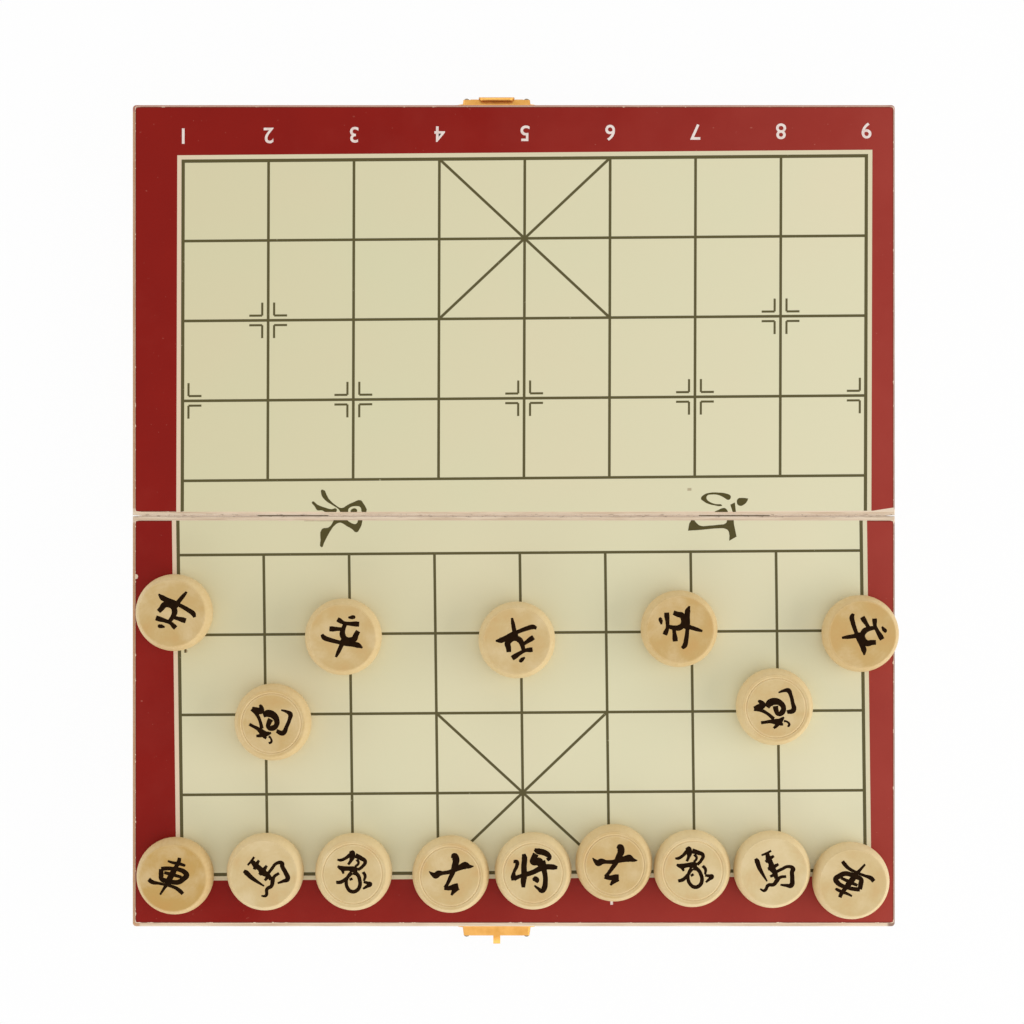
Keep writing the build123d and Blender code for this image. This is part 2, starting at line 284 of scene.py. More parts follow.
ALONG_X, ALONG_Y = 0, 1
RAIL_GRAIN = {"outer_rail": ALONG_X, "seam_rail": ALONG_X, "left_rail": ALONG_Y, "right_rail": ALONG_Y}
for half, side in (("near", -1), ("far", 1)):
    for index, (rail, grain) in enumerate(RAIL_GRAIN.items()):
        low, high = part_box(f"{half}_{rail}")
        middle = [(a + b) / 2 / MM for a, b in zip(low, high)]
        pith = (middle[0] + 18.0 * side, middle[1] - 14.0 - 6.0 * index, middle[2] - 22.0)
        dress(f"{half}_{rail}", softwood(f"softwood_{half}_{rail}", grain, pith, index * 5.1 + side))
print("rails dressed:", 2 * len(RAIL_GRAIN))

# %% [markdown]
# ## Plywood panels
# Each panel is three plies. Their faces show long veneer grain with fine dark vessels, and their
# edges show the layers, which the height alone can tell apart: the middle ply looks darker.
# Where the two panels meet, the sawn edges are painted paler and broken by short dark dashes: splintered
# wood holding dirt, and painted shade of the gap between the panels.
# The bare rims round the sheets are painted darker in soft patches, in their own tone on the left, right and
# far sides: painted shade, as the light falls on each side.

# %% Plywood
PLIES = 3
SEAM_DIRT_AND_SHADE_WIDTH = 0.55
RIM = 2.5
# Painted shade: the darker tones of the bare rims on the left, right and far sides
LEFT_RIM_SHADE = tone(188, 132, 86)
RIGHT_RIM_SHADE = tone(112, 66, 56)
FAR_RIM_SHADE = tone(182, 122, 110)


def plywood(name, low, high, seed):
    finish = Finish(name)
    x, y, z = finish.millimetres()
    low_z, high_z = low.z / MM, high.z / MM
    level = (z - low_z) / (high_z - low_z) * PLIES
    middle_ply = level.above(1.0, 0.08) * level.below(2.0, 0.08)
    glue = level.to_nearest(1.0).below(0.06, 0.05) * level.above(0.5, 0.1) * level.below(2.5, 0.1)
    long_fibre = finish.noise(12.0, detail=5.0, roughness=0.6, stretch=(1, 16, 16), seed=seed)
    end_fibre = finish.noise(1.0, detail=4.0, stretch=(3, 3, 1), seed=seed + 2)
    figure = finish.noise(40.0, detail=2.0, stretch=(1, 5, 1), seed=seed + 4)
    veneer = finish.ramp(
        long_fibre * 0.6 + figure * 0.4,
        [(0.3, tone(238, 218, 194)), (0.52, tone(226, 206, 180)), (0.8, tone(200, 170, 142))],
    )
    vessel = finish.noise(1.3, detail=3.0, roughness=0.6, stretch=(0.05, 1, 1), seed=seed + 10)
    veneer = finish.mixed(vessel.above(0.54, 0.12) * 0.3, veneer, tone(176, 136, 100))
    core = finish.ramp(end_fibre, [(0.3, tone(214, 184, 146)), (0.8, tone(168, 130, 94))])
    colour = finish.mixed(middle_ply, veneer, core)
    colour = finish.mixed(glue * 0.7, colour, tone(120, 84, 58))
    patchy = finish.noise(16.0, detail=3.0, seed=seed + 8) * 0.5 + 0.5
    # Painted shade: the bare rim on the left, right and far sides each gets its own darker tone, in soft
    # patches.
    margins = [
        (x.below(low.x / MM + RIM, 0.8), LEFT_RIM_SHADE),
        (x.above(high.x / MM - RIM, 0.8), RIGHT_RIM_SHADE),
        (y.above(high.y / MM - RIM, 0.8), FAR_RIM_SHADE),
    ]
    on_top = level.above(2.0, 0.3) * abs(y).above(RIM, 0.8)
    for margin, stain_and_shade in margins:
        colour = finish.mixed(margin * on_top * patchy, colour, stain_and_shade)
    # Along the seam: paler edges, then short dark dashes that are partly dirt in the splinters and partly
    # painted shade of the gap.
    at_seam = abs(y).below(SEAM_DIRT_AND_SHADE_WIDTH, 0.4)
    splinter_and_shade = finish.noise(2.6, detail=3.0, roughness=0.6, stretch=(1, 3, 3), seed=seed + 6)
    colour = finish.mixed(at_seam * 0.4, colour, tone(208, 196, 180))
    colour = finish.mixed(at_seam * splinter_and_shade.above(0.6, 0.06) * 0.65, colour, tone(124, 98, 80))
    height = long_fibre * (1 - middle_ply * 0.6) + end_fibre * middle_ply * 0.8
    return finish.surface(
        Base_Color=colour,
        Roughness=0.62 + end_fibre * 0.15,
        Normal=finish.bump(height, 0.06),
        Specular_IOR_Level=0.2,
    )


for half, seed in (("near", 1.7), ("far", 6.3)):
    dress(f"{half}_top_panel", plywood(f"plywood_{half}", *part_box(f"{half}_top_panel"), seed))
print("panels dressed: 2")

# %% [markdown]
# ## The printed board
# Red border, pale ground and dark lines are printed on a thin sheet on each half. The lines are
# worked out as distances to the nearest file or rank, so they stay sharp at any size, where an
# image would need to be very large. Each print was laid on a little skewed, so every half has
# its own slopes. The palace crosses and the corner marks repeat about the same grid.

# %% The lines of the board
FILE_PITCH = 30.24
RANK_PITCH = 28.3
HALF_WIDTH = 4 * FILE_PITCH
DEPTH = 4 * RANK_PITCH
LINE = 0.98
FRAME_LINE = 1.2
MARK_LINE = 0.78
MARK_ACROSS = 2.1
MARK_ALONG = 1.7
MARK_LEG = 4.6
SOFT = 0.12
BORDER_GAP = 2.1
# Side of the seam, X of the middle file at the river bank, Y of the bank at X = 0, lean of the
# files and slope of the ranks
PRINTS = {
    "far": {"side": 1, "middle": 3.6, "bank": 13.3, "lean": 0.0028, "slope": 0.0080},
    "near": {"side": -1, "middle": 2.15, "bank": -13.15, "lean": -0.0124, "slope": 0.0068},
}


def grid_place(x, y, layout):
    """How far a point lies across from the middle file, and out from the river bank."""
    across = x - layout["middle"] - (y - layout["bank"]) * layout["lean"]
    out = (y - layout["bank"] - (x - layout["middle"]) * layout["slope"]) * layout["side"]
    return across, out


def stripe(distance, width):
    """1 on a line, from the distance to its middle."""
    return abs(distance).below(width / 2, SOFT)


def corner_marks(du, dv):
    """Small right angles around a point of the grid, from the distances across and along."""
    upright = stripe(du - MARK_ACROSS, MARK_LINE) * dv.above(MARK_ALONG, SOFT)
    upright = upright * dv.below(MARK_ALONG + MARK_LEG, SOFT)
    level = stripe(dv - MARK_ALONG, MARK_LINE) * du.above(MARK_ACROSS, SOFT)
    level = level * du.below(MARK_ACROSS + MARK_LEG, SOFT)
    return upright.most(level)


def board_lines(across, out):
    """All the dark lines of one half."""
    inside = abs(across).below(HALF_WIDTH, SOFT)
    files = stripe(across.to_nearest(FILE_PITCH), LINE) * out.above(0.0, SOFT)
    ranks = stripe(out.to_nearest(RANK_PITCH), LINE) * out.above(-LINE, SOFT)
    lines = files.most(ranks) * out.below(DEPTH, SOFT) * inside
    frame_sides = stripe(abs(across) - HALF_WIDTH, FRAME_LINE) * out.below(DEPTH + FRAME_LINE / 2, SOFT)
    frame_end = stripe(out - DEPTH, FRAME_LINE) * abs(across).below(HALF_WIDTH + FRAME_LINE / 2, SOFT)
    middle_out = abs(out - 3 * RANK_PITCH)
    diagonal_reach = (FILE_PITCH**2 + RANK_PITCH**2) ** 0.5
    cross = (abs(across) * RANK_PITCH - middle_out * FILE_PITCH) / diagonal_reach
    palace = stripe(cross, LINE) * abs(across).below(FILE_PITCH, SOFT) * middle_out.below(RANK_PITCH, SOFT)
    soldiers = corner_marks(across.to_nearest(2 * FILE_PITCH), abs(out - RANK_PITCH))
    cannons = corner_marks(abs(abs(across) - 3 * FILE_PITCH), abs(out - 2 * RANK_PITCH))
    marks = soldiers.most(cannons) * inside
    return lines.most(frame_sides).most(frame_end).most(palace).most(marks)


# %% The printed sheet
PAPER_LEFT_SHADED = tone(216, 208, 169)
PAPER_RIGHT_LIT = tone(227, 221, 188)
PAPER_NEAR_LIT = tone(234, 228, 196)
PAPER_WARM = tone(224, 212, 176)
PAPER_COOL = tone(217, 216, 178)
RED = tone(142, 24, 14)
RED_DEEP = tone(128, 18, 11)
RED_SHEEN_AND_FADED = tone(184, 84, 72)
BAND_LEFT = tone(229, 204, 178)
BAND_RIGHT = tone(221, 211, 178)
INK = tone(80, 72, 36)
BARE = tone(232, 212, 188)
STAIN = tone(128, 92, 58)
SHEET_EDGE_SHADOW = tone(84, 42, 22)
# Small hurts of the near sheet: X, Y and radius, with bare paper showing
CHIPS = [(-133.9, -21.6, 0.9), (-134.3, -23.4, 0.5)]
# The far sheet's seam edge: how it slants to the right, and its snipped corner's length and slope
SEAM_SLANT = 0.0035
SNIP_LENGTH = 7.5
SNIP_SLOPE = 0.15
# Brown stains: X, Y, half length along X and half width
STAINS = [(-116.0, -48.0, 0.5, 0.4), (62.2, 9.3, 0.7, 0.5), (-69.0, -1.75, 5.2, 0.2)]


def fading(finish, x, y):
    """How far the red is painted lighter: painted sheen and light, most towards the right and the near edge,
    with random faded patches.
    """
    patches = finish.noise(30.0, detail=4.0, roughness=0.6, seed=8.0)
    rightwards = (x / 270.0 + 0.5).clamped()
    return (rightwards * rightwards * 0.42 - y / 290.0 * 0.08 + (patches - 0.5) * 0.3).clamped()


def worn_edge(finish, edge_x, edge_y, seed):
    """Where the print has chipped off along the sheet's edges, most at its corners."""
    nibble = finish.noise(2.6, detail=4.0, roughness=0.65, seed=seed).above(0.64, 0.12) * 0.3
    corner = (edge_x + edge_y).below(1.0, 1.0) * 0.3
    return (edge_x.least(edge_y) - nibble - corner).below(0.1, 0.1)


def printed_sheet(name, layout, low, high, seed):
    finish = Finish(name)
    x, y, z = finish.millimetres()
    low_mm, high_mm = low / MM, high / MM
    across, out = grid_place(x, y, layout)
    cloud = finish.noise(55.0, detail=2.0, seed=seed)
    speck = finish.noise(1.4, detail=2.0, seed=seed + 2)
    paper = finish.mixed(cloud.above(0.5, 0.5), PAPER_COOL, PAPER_WARM)
    # Painted light: the paper is painted darker on the left and lighter on the right, as the light falls
    # from the right.
    paper = finish.mixed(0.6, paper, finish.mixed(x / 230.0 + 0.5, PAPER_LEFT_SHADED, PAPER_RIGHT_LIT))
    # Painted light: the near part of the paper is painted lighter, as if more light falls there.
    paper = finish.mixed((y * -1 / 45.0 - 1.0).clamped() * 0.3, paper, PAPER_NEAR_LIT)
    red = finish.mixed(finish.noise(22.0, detail=4.0, seed=seed + 5), RED, RED_DEEP)
    # Painted sheen and light on the red, with random faded patches.
    red = finish.mixed(fading(finish, x, y), red, RED_SHEEN_AND_FADED)
    red = finish.mixed(speck.above(0.76, 0.06) * 0.35, red, tone(206, 130, 112))
    border = abs(across).above(HALF_WIDTH + BORDER_GAP, SOFT).most(out.above(DEPTH + BORDER_GAP, SOFT))
    band = abs(across).above(HALF_WIDTH + FRAME_LINE / 2, SOFT).most(out.above(DEPTH + FRAME_LINE / 2, SOFT))
    cream = finish.mixed(x.above(-110.0, 20.0), BAND_LEFT, BAND_RIGHT)
    colour = finish.mixed(band * 0.85, paper, cream)
    colour = finish.mixed(border, colour, red)
    colour = finish.mixed(board_lines(across, out) * (0.96 - speck.above(0.75, 0.05) * 0.3), colour, INK)

    for stain_x, stain_y, length, width in STAINS:
        stain_and_shade = abs(x - stain_x).below(length, 0.4) * abs(y - stain_y).below(width, 0.2)
        colour = finish.mixed(stain_and_shade * (speck * 0.8 + 0.1), colour, STAIN)
    edge_x = (x - low_mm.x).least(x * -1 + high_mm.x)
    edge_y = (y - low_mm.y).least(y * -1 + high_mm.y)
    # Painted shadow: a thin dark line along the sheet's edge in the red border, where the sheet's thickness
    # would cast it.
    colour = finish.mixed(edge_x.least(edge_y).below(0.45, 0.5) * border * 0.6, colour, SHEET_EDGE_SHADOW)
    worn = worn_edge(finish, edge_x, edge_y, seed + 9)
    if layout["side"] > 0:
        snip = (x - (high_mm.x - SNIP_LENGTH)).most(0.0) * SNIP_SLOPE
        slant = (x * SEAM_SLANT).most(0.0) + snip
        worn = worn.most((y - low_mm.y - slant).below(0.0, 0.15) * x.above(0.0, 1.0))
    else:
        for chip_x, chip_y, radius in CHIPS:
            reach = ((x - chip_x).power(2.0) + (y - chip_y).power(2.0)).power(0.5) + speck * 0.8
            worn = worn.most(reach.below(radius + 0.4, 0.2))
    colour = finish.mixed(worn, colour, BARE)
    peel = finish.noise(1.1, detail=3.0, seed=seed + 12)
    scuff = finish.noise(18.0, detail=5.0, roughness=0.7, stretch=(1, 4, 1), seed=seed + 15)
    return finish.surface(
        Base_Color=colour,
        Roughness=(0.36 + scuff * 0.14 + worn * 0.3).clamped(),
        Normal=finish.bump(peel * 0.5 + worn * -1.0, 0.03),
        Specular_IOR_Level=0.12,
    )


for half, layout in PRINTS.items():
    sheet = f"{half}_printed_sheet"
    dress(sheet, printed_sheet(f"print_{half}", layout, *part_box(sheet), layout["side"] * 4.4))
print("printed sheets dressed:", len(PRINTS))

# %% [markdown]
# ## Turned discs
# The discs are sliced from a turned rod, so their faces are end grain: faint rings about a pith
# that lies off the middle, and fine pores. Along the side the grain runs up. Each disc was cut
# from another place in the wood, so a loop gives each its own tone, pith and turn.

# %% Disc wood
PALE_DISC = tone(216, 193, 144)
DEEP_DISC = tone(194, 157, 91)
AMBER = tone(200, 146, 78)
CREAM = tone(240, 222, 184)
SIDE_GRAIN_AND_HIGHLIGHT = tone(242, 221, 176)
SHOULDER = 1.9
GROOVE_INSET = 3.1
GROOVE_Z = 20.0
PLAIN = ("soldier", "horse", "chariot")
# How deep the tone of each disc is, from 0 pale to 1 deep
DEPTHS = {
    "soldier_1": 0.64, "soldier_2": 0.53, "soldier_3": 0.43, "soldier_4": 0.78, "soldier_5": 0.78,
    "cannon_left": 0.58, "cannon_right": 0.33, "chariot_left": 1.0, "horse_left": 0.22,
    "elephant_left": 0.23, "advisor_left": 0.41, "general": 0.2, "advisor_right": 0.57,
    "elephant_right": 0.15, "horse_right": 0.03, "chariot_right": 0.26,
}


def blended(first, second, share):
    """A plain colour between two others, worked out once."""
    return tuple(a + (b - a) * share for a, b in zip(first, second))


def disc_wood(name, centre, radius, depth, ringed, seed):
    finish = Finish(name)
    local = finish.moved(location=(-centre.x, -centre.y, 0))
    x, y, z = finish.millimetres(local)
    pith = (7.0 * cos(seed * 2.4), 7.0 * sin(seed * 2.4))
    wobble = finish.noise(9.0, place=local, detail=2.0, seed=seed) * 1.6
    across = [x - pith[0] + wobble, y - pith[1] + wobble]
    distance = (across[0] * across[0] + across[1] * across[1]).power(0.5)
    ring = (distance / 1.3).math("FRACT").power(2.0)
    cloud = finish.noise(10.0, place=local, detail=2.0, seed=seed + 4)
    pores = finish.noise(0.35, place=local, detail=2.0, stretch=(1, 1, 0.08), seed=seed + 6)
    pores = pores.above(0.66, 0.06)
    fibre = finish.noise(1.2, place=local, detail=4.0, stretch=(1, 1, 0.12), seed=seed + 8)
    face = blended(PALE_DISC, DEEP_DISC, depth)
    shade = cloud * 1.3 + ring * 0.04 + fibre * 0.2 + pores * 0.1 - 0.3
    amber, pale = blended(face, AMBER, 0.42), blended(face, CREAM, 0.3)
    colour = finish.ramp(shade, [(0.2, pale), (0.5, face), (0.85, amber)])
    from_middle = (x * x + y * y).power(0.5)
    in_groove = abs(from_middle - (radius / MM - GROOVE_INSET)).below(0.5, 0.3) * z.above(GROOVE_Z, 0.2)
    on_side = from_middle.above(radius / MM - SHOULDER, 0.9)
    # The side and the rounded shoulder are painted paler: paler side grain and a painted highlight.
    side = finish.mixed(fibre * 0.5 + 0.1, blended(SIDE_GRAIN_AND_HIGHLIGHT, face, 0.3), face)
    colour = finish.mixed(on_side * 0.75, colour, side)
    # The groove of ringed discs is painted in the same paler tone: side grain in its walls and a painted
    # highlight.
    colour = finish.mixed(in_groove * 0.35 * ringed, colour, SIDE_GRAIN_AND_HIGHLIGHT)
    return finish.surface(
        Base_Color=colour,
        Roughness=0.46 + fibre * 0.12 + pores * 0.1,
        Normal=finish.bump(fibre * 0.5 + ring * 0.08 - pores * 0.4, 0.03),
        Specular_IOR_Level=0.2,
        Coat_Weight=0.06,
        Coat_Roughness=0.35,
    )


discs = {}
for index, (name, depth) in enumerate(DEPTHS.items()):
    low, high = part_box(name)
    discs[name] = {"centre": (low + high) / 2, "top": high.z}
    radius = (high.x - low.x) / 2
    ringed = 0.0 if name.startswith(PLAIN) else 1.0
    centre, seed = discs[name]["centre"], 2.0 + index * 1.7
    dress(name, disc_wood(f"disc_wood_{name}", centre, radius, depth, ringed, seed))
print("discs dressed:", len(discs))

# %% [markdown]
# ## Brushed characters
# Each disc carries its piece's usual character in black lacquer. A brush stroke swells and thins
# along its way, so each stroke is a curve whose points have their own radius. The tube around
# it is flattened to a low dome with blunt ends, as thick lacquer dries.
# The strokes are drawn upright in millimetres about the middle of the face: x, y, half width.

# %% The strokes of the seven characters
STROKES = {
    "soldier": [
        [(-1.5, 6.7, 0.25), (-0.4, 7.2, 0.6), (0.2, 7.5, 0.6), (0.7, 7.2, 0.3)],
        [(-4.7, 4.7, 0.7), (-3.9, 4.6, 0.75), (-2.2, 4.4, 0.55), (-0.2, 4.9, 0.6), (1.7, 5.6, 0.8),
         (2.9, 6.0, 0.75)],
        [(-6.0, 0.6, 0.75), (-4.9, 1.0, 0.8), (-3.4, 1.6, 0.6), (-1.8, 2.2, 0.55)],
        [(-1.6, 3.9, 0.6), (-1.5, 1.8, 0.75), (-1.0, 0.4, 0.9), (0.4, -0.5, 0.8), (1.9, -0.2, 0.7),
         (3.2, 0.6, 0.95), (3.3, 2.2, 0.8), (3.5, 3.7, 0.7)],
        [(-7.7, -2.2, 0.45), (-6.6, -2.9, 0.75), (-4.6, -2.9, 0.7), (-1.5, -2.5, 0.6), (1.2, -2.0, 0.7),
         (3.6, -1.2, 0.8), (5.3, -0.9, 0.85), (7.1, -1.1, 0.25)],
        [(0.0, 0.0, 0.7), (0.0, -1.6, 0.85), (0.0, -3.4, 0.65), (-0.1, -5.6, 0.6), (-0.2, -7.6, 0.35)],
    ],
    "cannon": [
        [(-4.8, 5.2, 0.5), (-4.8, 3.4, 0.5), (-4.8, 1.9, 0.6), (-5.4, -0.9, 1.1)],
        [(-7.3, 1.1, 0.4), (-6.4, -0.2, 0.6), (-5.6, -0.9, 0.8)],
        [(-5.6, -0.9, 1.1), (-4.7, -2.0, 0.7), (-3.9, -3.0, 0.3)],
        [(-6.2, -1.2, 0.5), (-6.4, -2.4, 0.4)],
        [(-7.5, -3.9, 0.35), (-6.7, -4.5, 0.4), (-5.6, -3.7, 0.3), (-5.3, -2.8, 0.4)],
        [(-4.1, 0.6, 0.6), (-1.9, 2.6, 0.5), (-0.4, 4.7, 0.6), (0.4, 6.9, 0.7)],
        [(0.4, 6.9, 0.7), (0.8, 5.2, 0.9), (1.2, 3.8, 1.0), (2.6, 4.6, 0.6), (2.9, 5.2, 0.3)],
        [(0.3, 2.4, 0.8), (1.6, 1.2, 1.2), (1.9, -0.9, 1.1), (0.9, -2.6, 0.9), (-0.7, -3.3, 0.8),
         (-2.2, -2.6, 0.9), (-2.6, -1.3, 0.7), (-1.0, -0.6, 0.8), (0.3, -0.6, 0.9)],
        [(-2.4, -4.3, 0.6), (-2.0, -6.6, 0.85), (0.6, -6.7, 0.6), (3.4, -6.4, 0.6), (5.0, -5.8, 0.8),
         (5.2, -4.3, 0.5), (4.8, -2.3, 0.25)],
    ],
    "chariot": [
        [(-0.5, 6.9, 0.6), (-0.2, 5.6, 0.7), (-0.3, 3.6, 0.7), (-0.5, 1.2, 1.0), (-0.7, -1.4, 1.0),
         (-0.8, -3.4, 0.8), (-1.1, -5.4, 0.5), (-1.5, -8.1, 0.35)],
        [(-3.9, 4.1, 0.35), (-2.0, 4.3, 0.5), (0.0, 4.8, 0.6), (2.2, 5.1, 0.5), (2.6, 5.1, 0.3)],
        [(-4.9, 0.5, 0.75), (-3.4, 1.4, 0.7), (-0.9, 2.4, 0.65), (1.5, 3.0, 0.75), (3.2, 2.9, 0.85),
         (4.4, 2.2, 0.9), (3.9, 0.6, 0.9), (2.8, -1.2, 0.85), (0.9, -2.1, 0.8), (-1.5, -2.6, 0.8),
         (-3.3, -2.7, 0.8), (-4.1, -1.3, 0.85), (-4.9, 0.5, 0.75)],
        [(-3.4, -0.2, 0.5), (-1.0, 0.2, 0.65), (3.0, 0.8, 0.5)],
        [(-7.5, -4.7, 0.7), (-6.0, -5.1, 0.75), (-3.8, -4.6, 0.5), (-0.5, -3.9, 0.5), (2.6, -3.6, 0.6),
         (4.6, -4.0, 0.7), (5.9, -4.5, 0.6)],
    ],
    "horse": [
        [(-4.9, 5.6, 0.5), (-4.7, 4.6, 0.8), (-4.6, 2.2, 0.7), (-4.1, -0.4, 0.5), (-3.4, -3.2, 0.25)],
        [(-2.6, 6.1, 0.3), (-1.0, 6.2, 0.4), (1.1, 6.6, 0.35)],
        [(-0.5, 6.2, 0.6), (-0.6, 4.2, 0.9), (-0.3, 2.4, 0.8), (-0.4, 0.8, 1.1), (0.1, -1.2, 0.8),
         (0.0, -3.2, 0.6)],
        [(-1.9, 3.4, 0.5), (-0.4, 4.1, 0.7), (1.5, 4.6, 0.4)],
        [(-1.9, 0.8, 0.5), (0.2, 1.0, 0.7), (2.2, 1.4, 0.4)],
        [(-1.9, -1.9, 0.4), (-0.2, -1.7, 0.6)],
        [(0.4, -1.0, 0.5), (2.8, -0.6, 0.5), (5.2, -0.4, 0.5), (6.6, -1.7, 0.7), (6.0, -2.4, 0.7),
         (5.3, -4.8, 0.7), (4.2, -7.0, 0.8), (2.6, -6.5, 0.5), (0.7, -5.7, 0.3)],
        [(3.5, -3.5, 0.45), (1.3, -3.2, 0.5), (0.0, -3.9, 0.7), (-1.5, -4.9, 0.6), (-3.4, -4.6, 0.55),
         (-5.2, -6.0, 0.5), (-6.5, -5.0, 0.25)],
    ],
    "elephant": [
        [(-0.3, 7.3, 0.6), (0.0, 6.5, 1.0), (0.0, 5.0, 0.9), (-0.6, 3.6, 0.5), (-1.5, 2.4, 0.4)],
        [(-0.8, 5.8, 0.6), (-2.4, 4.7, 0.5), (-4.2, 4.1, 0.5), (-5.3, 4.3, 0.3)],
        [(1.2, 5.6, 0.8), (3.2, 4.5, 0.7), (4.6, 3.3, 0.6), (3.6, 1.6, 0.5), (1.9, 0.4, 0.5)],
        [(1.7, 4.2, 0.5), (2.2, 2.8, 0.4), (1.0, 1.6, 0.4)],
        [(-5.3, 2.0, 0.35), (-3.9, 1.2, 0.8), (-1.6, 1.0, 0.7), (0.6, 0.8, 0.8), (1.9, 0.4, 0.6)],
        [(-3.6, 1.0, 0.7), (-3.3, -0.8, 0.3)],
        [(-0.3, -0.5, 0.7), (-1.8, -2.0, 0.5), (-2.4, -3.8, 0.55), (-2.0, -5.9, 0.55), (-0.7, -7.2, 0.6),
         (1.1, -7.0, 0.6), (2.3, -5.5, 0.6), (2.4, -3.2, 0.6), (1.7, -1.3, 0.6), (0.3, -0.3, 0.8)],
        [(-0.2, 0.9, 0.9), (0.0, -0.4, 0.8)],
        [(-6.0, -3.8, 0.5), (-4.3, -3.7, 0.6), (-2.2, -2.4, 0.5), (-0.9, -1.4, 0.4)],
        [(-1.2, -3.0, 0.4), (-0.1, -2.6, 0.4)],
        [(3.7, -0.4, 0.5), (4.4, -1.8, 0.5), (3.9, -3.6, 0.35)],
        [(3.8, -3.9, 0.4), (5.2, -4.4, 0.5), (6.2, -4.8, 0.6), (4.9, -5.6, 0.5), (3.5, -6.4, 0.3)],
    ],
    "advisor": [
        [(0.9, 6.9, 0.5), (2.0, 6.6, 1.1), (2.6, 5.2, 1.0), (2.0, 3.2, 0.85), (1.2, 0.8, 0.7),
         (0.2, -1.2, 0.6), (-1.0, -3.4, 0.5), (-1.9, -4.7, 0.5)],
        [(-7.5, 1.5, 0.15), (-6.2, 0.4, 0.6), (-5.2, 0.0, 1.0), (-4.0, 0.6, 0.9), (-2.4, 0.7, 0.55),
         (0.4, 1.1, 0.6), (2.4, 2.0, 0.8), (4.2, 2.6, 0.85), (5.9, 3.1, 1.1), (7.4, 2.7, 0.6),
         (9.0, 2.7, 0.15)],
        [(-2.2, -4.8, 0.6), (0.0, -4.9, 0.7), (1.8, -4.4, 0.8), (3.0, -4.2, 0.75)],
        [(2.8, -4.8, 0.8), (1.4, -6.0, 0.7), (0.3, -7.6, 0.3)],
    ],
    "general": [
        [(-2.9, 6.2, 0.6), (-2.6, 4.8, 0.9), (-2.8, 1.6, 0.9), (-2.7, -1.4, 1.0), (-3.0, -3.8, 0.9),
         (-3.0, -6.0, 0.6)],
        [(-6.6, 3.4, 0.5), (-5.4, 3.3, 0.7), (-5.4, 1.8, 0.6), (-6.4, -0.4, 0.5), (-6.6, -2.2, 0.9),
         (-6.4, -3.4, 0.8)],
        [(-6.4, -2.8, 0.8), (-4.2, -1.9, 0.6), (-1.8, -1.2, 0.8), (0.6, -0.4, 0.8), (3.0, 0.8, 0.9),
         (5.6, 1.5, 0.9), (8.0, 1.4, 0.9), (9.4, 1.2, 0.5)],
        [(1.0, 7.8, 0.5), (2.4, 7.2, 1.0), (4.2, 6.8, 1.0), (5.8, 6.0, 0.9), (6.6, 4.8, 0.6),
         (5.6, 4.0, 0.6)],
        [(1.6, 6.2, 1.0), (0.6, 4.4, 0.9), (0.2, 3.2, 0.7), (2.4, 3.4, 1.4), (3.8, 2.6, 1.2),
         (5.2, 3.0, 0.9)],
        [(4.3, 1.2, 0.9), (4.9, -1.4, 0.8), (5.0, -4.0, 0.8), (4.6, -6.2, 0.9), (3.8, -7.2, 0.8),
         (2.4, -6.4, 0.5), (1.0, -5.3, 0.3)],
        [(0.6, -2.4, 0.6), (1.6, -3.3, 1.1), (1.2, -3.9, 0.8)],
    ],
}

# %% Black lacquer
LACQUER_RISE = 0.08


def black_lacquer():
    finish = Finish("black_lacquer")
    film = finish.noise(1.6, detail=3.0, seed=2.0)
    colour = finish.ramp(film, [(0.3, tone(24, 11, 2)), (0.75, tone(38, 21, 5))])
    return finish.surface(
        Base_Color=colour,
        Roughness=0.36 + film * 0.2,
        Normal=finish.bump(film, 0.03),
        Specular_IOR_Level=0.03,
    )


def brush_mesh(name, strokes, size, breadth):
    """Tubes along the strokes, with a radius at each point."""
    curve = bpy.data.curves.new(name, "CURVE")
    curve.dimensions = "3D"
    curve.bevel_depth = MM
    curve.bevel_resolution = 3
    curve.resolution_u = 6
    curve.use_fill_caps = True
    for stroke in strokes:
        spline = curve.splines.new("BEZIER")
        spline.bezier_points.add(len(stroke) - 1)
        for point, (x, y, half_width) in zip(spline.bezier_points, stroke):
            point.co = (x * size * MM, y * size * MM, 0)
            point.radius = half_width * breadth
            point.handle_left_type = point.handle_right_type = "AUTO"
    return mesh_of(name, curve)


def mesh_of(name, curve):
    """The mesh of a curve or text, which is then thrown away."""
    carrier = bpy.data.objects.new(name + "_shape", curve)
    mesh = bpy.data.meshes.new_from_object(carrier)
    mesh.name = name
    bpy.data.objects.remove(carrier)
    bpy.data.curves.remove(curve)
    return mesh


def added(name, mesh, material, body):
    """A finished piece: one object at the origin that rides on its body."""
    mesh.materials.clear()
    mesh.materials.append(material)
    piece = bpy.data.objects.new(name, mesh)
    bpy.context.scene.collection.objects.link(piece)
    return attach(piece, body)


# How far each character is turned, in degrees, and moved right and up on its face, in mm
SETTINGS = {
    "soldier_1": (143, 0.4, 1.5), "soldier_2": (-22.5, 0.9, 0.2), "soldier_3": (-167, -0.2, 0.5),
    "soldier_4": (75.5, 0.35, 1.55), "soldier_5": (-79.5, 0.3, 0.0),
    "cannon_left": (62, -0.85, 1.55), "cannon_right": (98, -0.85, 0.35),
    "chariot_left": (-24, 0.1, 0.85), "chariot_right": (146.5, -1.4, 0.85),
    "horse_left": (43.5, 0.5, 0.5), "horse_right": (17, 0.0, 0.7),
    "elephant_left": (2, 0.0, 1.05), "elephant_right": (12.5, -0.35, 1.4),
    "advisor_left": (2.5, -0.25, 0.7), "advisor_right": (-7.5, -0.85, 0.25),
    "general": (0, -0.6, 0.85),
}
